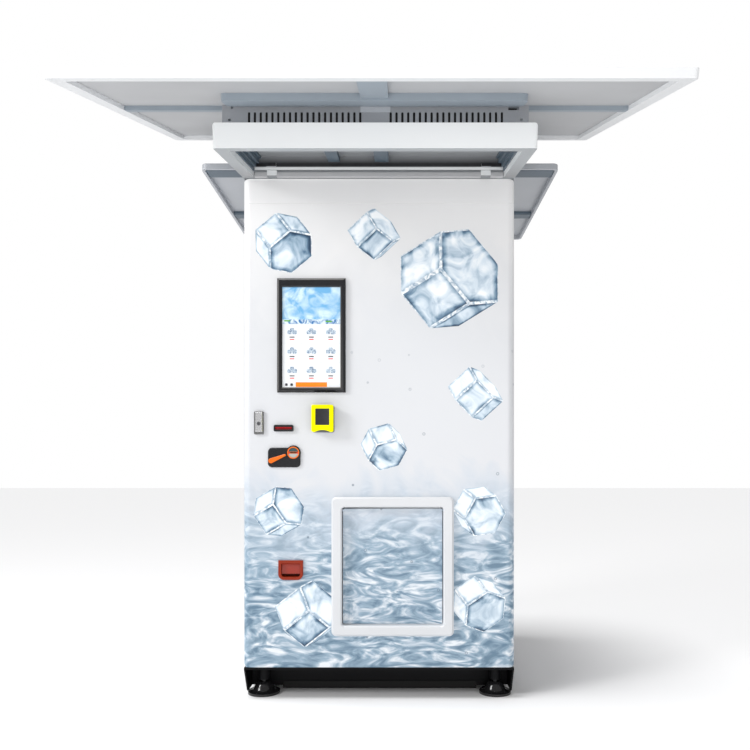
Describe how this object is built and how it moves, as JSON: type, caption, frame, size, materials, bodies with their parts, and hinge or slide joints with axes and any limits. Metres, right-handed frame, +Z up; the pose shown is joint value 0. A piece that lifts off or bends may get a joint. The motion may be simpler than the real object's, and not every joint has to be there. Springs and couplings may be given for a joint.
{
  "type": "ice vending machine",
  "caption": "Outdoor ice vending machine: tall insulated cabinet with a full-height door, touch display, payment devices, pick-up flap, front visor, side wings and a sloping roof canopy.",
  "frame": {"origin": "on the floor, under the centre of the whole machine's bounding box", "axes": "+Z up, +Y to the rear (the customer stands on the -Y side), +X to the customer's right"},
  "size_m": [1.882, 2.034, 2.4676],
  "materials": {
    "base_black": "satin black powder coat",
    "foot_black": "gloss black",
    "cabinet_white": "white coated sandwich panel, satin",
    "wrap": "printed film over coated sheet, satin",
    "foam_panel": "foamed panel with white liner",
    "stainless": "brushed",
    "motor_grey": "painted grey",
    "compressor_black": "satin black",
    "fin_aluminium": "bare fins",
    "galvanised": "galvanised sheet",
    "fan_black": "moulded",
    "grille_grey": "fine textured grey",
    "housing_grey": "grey powder coat",
    "roof_white": "white powder coat",
    "roof_sheet": "light grey composite sheet",
    "rib_grey": "blue-grey coated",
    "bracket_grey": "grey",
    "visor_white": "white moulding",
    "rail_slate": "slate coated",
    "wing_grey": "light grey coated",
    "gasket_rubber": "soft",
    "payment_black": "gloss black",
    "screen_glass": "lit display behind glass",
    "lock_silver": "satin chrome",
    "lock_dark": "dark nickel",
    "reader_grey": "moulded grey",
    "reader_yellow": "moulded yellow",
    "window_dark": "smoked window",
    "coin_orange": "moulded orange",
    "flap_red": "translucent red-orange",
    "frame_white": "moulded white"
  },
  "bodies": {
    "cabinet": {"base_frame": "base_black", "side_panel_left": "cabinet_white", "side_panel_right": "cabinet_white", "rear_panel": "cabinet_white", "floor_panel": "foam_panel", "top_deck": "foam_panel", "header_panel": "wrap", "ice_bin": "stainless", "auger_motor": "motor_grey", "ice_chute": "stainless", "delivery_bay": "stainless", "compressor": "compressor_black", "ice_maker": "stainless", "control_box": "housing_grey", "condenser": "fin_aluminium", "fan_shroud": "galvanised", "grille_panel": "grille_grey", "plenum_duct": "housing_grey", "housing_side_left": "housing_grey", "housing_side_right": "housing_grey", "housing_rear": "housing_grey", "housing_cover": "housing_grey", "roof_frame": "roof_white", "roof_panel": "roof_sheet", "roof_ribs": "rib_grey", "roof_brackets": "bracket_grey", "visor_bar": "bracket_grey"},
    "door": {"door_skin": "wrap", "door_core": "foam_panel", "service_case": "galvanised", "door_gasket": "gasket_rubber", "screen_bezel": "payment_black", "touch_screen": "screen_glass", "lock_housing": "lock_silver", "bill_slot": "payment_black", "card_reader": "reader_grey", "reader_face": "reader_yellow", "reader_window": "window_dark", "coin_bezel": "payment_black", "coin_ring": "coin_orange", "coin_cup": "coin_orange", "pickup_frame": "frame_white"},
    "visor": {"visor_pan": "visor_white", "visor_rails": "rail_slate"},
    "wing_left": {"wing_panel_left": "wing_grey", "wing_ribs_left": "rail_slate"},
    "wing_right": {"wing_panel_right": "wing_grey", "wing_ribs_right": "rail_slate"},
    "pickup_flap": {"pickup_flap": "wrap"},
    "cup_flap": {"cup_flap": "flap_red"},
    "return_lever": {"return_lever": "coin_orange"},
    "lock_handle": {"lock_handle": "lock_silver"},
    "lock_cylinder": {"lock_cylinder": "lock_dark"},
    "auger": {"ice_auger": "stainless"},
    "fan_left": {"fan_left": "fan_black"},
    "fan_right": {"fan_right": "fan_black"},
    "foot_front_left": {"foot_front_left": "foot_black"},
    "foot_front_right": {"foot_front_right": "foot_black"},
    "foot_rear_left": {"foot_rear_left": "foot_black"},
    "foot_rear_right": {"foot_rear_right": "foot_black"}
  },
  "joints": [
    {"name": "door_hinge", "type": "hinge", "parent": "cabinet", "child": "door", "pos_m": [0.536, -0.10095, 0.129], "axis": [0, 0, 1], "range_deg": [0, 150]},
    {"name": "visor_hinge", "type": "hinge", "parent": "cabinet", "child": "visor", "pos_m": [0, -0.14295, 2.115], "axis": [1, 0, 0], "range_deg": [0, 70]},
    {"name": "wing_left_hinge", "type": "hinge", "parent": "cabinet", "child": "wing_left", "pos_m": [-0.559, 0.50705, 2.207], "axis": [0, -1, 0], "range_deg": [0, 88]},
    {"name": "wing_right_hinge", "type": "hinge", "parent": "cabinet", "child": "wing_right", "pos_m": [0.559, 0.50705, 2.207], "axis": [0, 1, 0], "range_deg": [0, 88]},
    {"name": "pickup_flap_hinge", "type": "hinge", "parent": "door", "child": "pickup_flap", "pos_m": [0.0554, -0.11195, 0.7625], "axis": [1, 0, 0], "range_deg": [0, 68]},
    {"name": "cup_flap_hinge", "type": "hinge", "parent": "door", "child": "cup_flap", "pos_m": [-0.356, -0.12795, 0.5455], "axis": [1, 0, 0], "range_deg": [0, 60]},
    {"name": "return_lever_turn", "type": "hinge", "parent": "door", "child": "return_lever", "pos_m": [-0.434, -0.14395, 0.964], "axis": [0, 1, 0], "range_deg": [0, 25], "stiffness_Nm_per_rad": 0.05, "springref_deg": -17.19},
    {"name": "lock_handle_swing", "type": "hinge", "parent": "door", "child": "lock_handle", "pos_m": [-0.484, -0.13895, 1.0835], "axis": [1, 0, 0], "range_deg": [0, 35]},
    {"name": "key_turn", "type": "hinge", "parent": "lock_handle", "child": "lock_cylinder", "pos_m": [-0.484, -0.14495, 1.114], "axis": [0, 1, 0], "range_deg": [0, 90]},
    {"name": "auger_turn", "type": "hinge", "parent": "cabinet", "child": "auger", "pos_m": [0.0554, 0.19705, 1], "axis": [0, 1, 0], "continuous": true},
    {"name": "fan_left_spin", "type": "hinge", "parent": "cabinet", "child": "fan_left", "pos_m": [-0.235, -0.00895, 2.203], "axis": [0, 1, 0], "continuous": true},
    {"name": "fan_right_spin", "type": "hinge", "parent": "cabinet", "child": "fan_right", "pos_m": [0.235, -0.00895, 2.203], "axis": [0, 1, 0], "continuous": true},
    {"name": "foot_front_left_turn", "type": "hinge", "parent": "cabinet", "child": "foot_front_left", "pos_m": [-0.481, -0.04095, 0], "axis": [0, 0, 1], "continuous": true},
    {"name": "foot_front_right_turn", "type": "hinge", "parent": "cabinet", "child": "foot_front_right", "pos_m": [0.481, -0.04095, 0], "axis": [0, 0, 1], "continuous": true},
    {"name": "foot_rear_left_turn", "type": "hinge", "parent": "cabinet", "child": "foot_rear_left", "pos_m": [-0.481, 0.92505, 0], "axis": [0, 0, 1], "continuous": true},
    {"name": "foot_rear_right_turn", "type": "hinge", "parent": "cabinet", "child": "foot_rear_right", "pos_m": [0.481, 0.92505, 0], "axis": [0, 0, 1], "continuous": true}
  ]
}
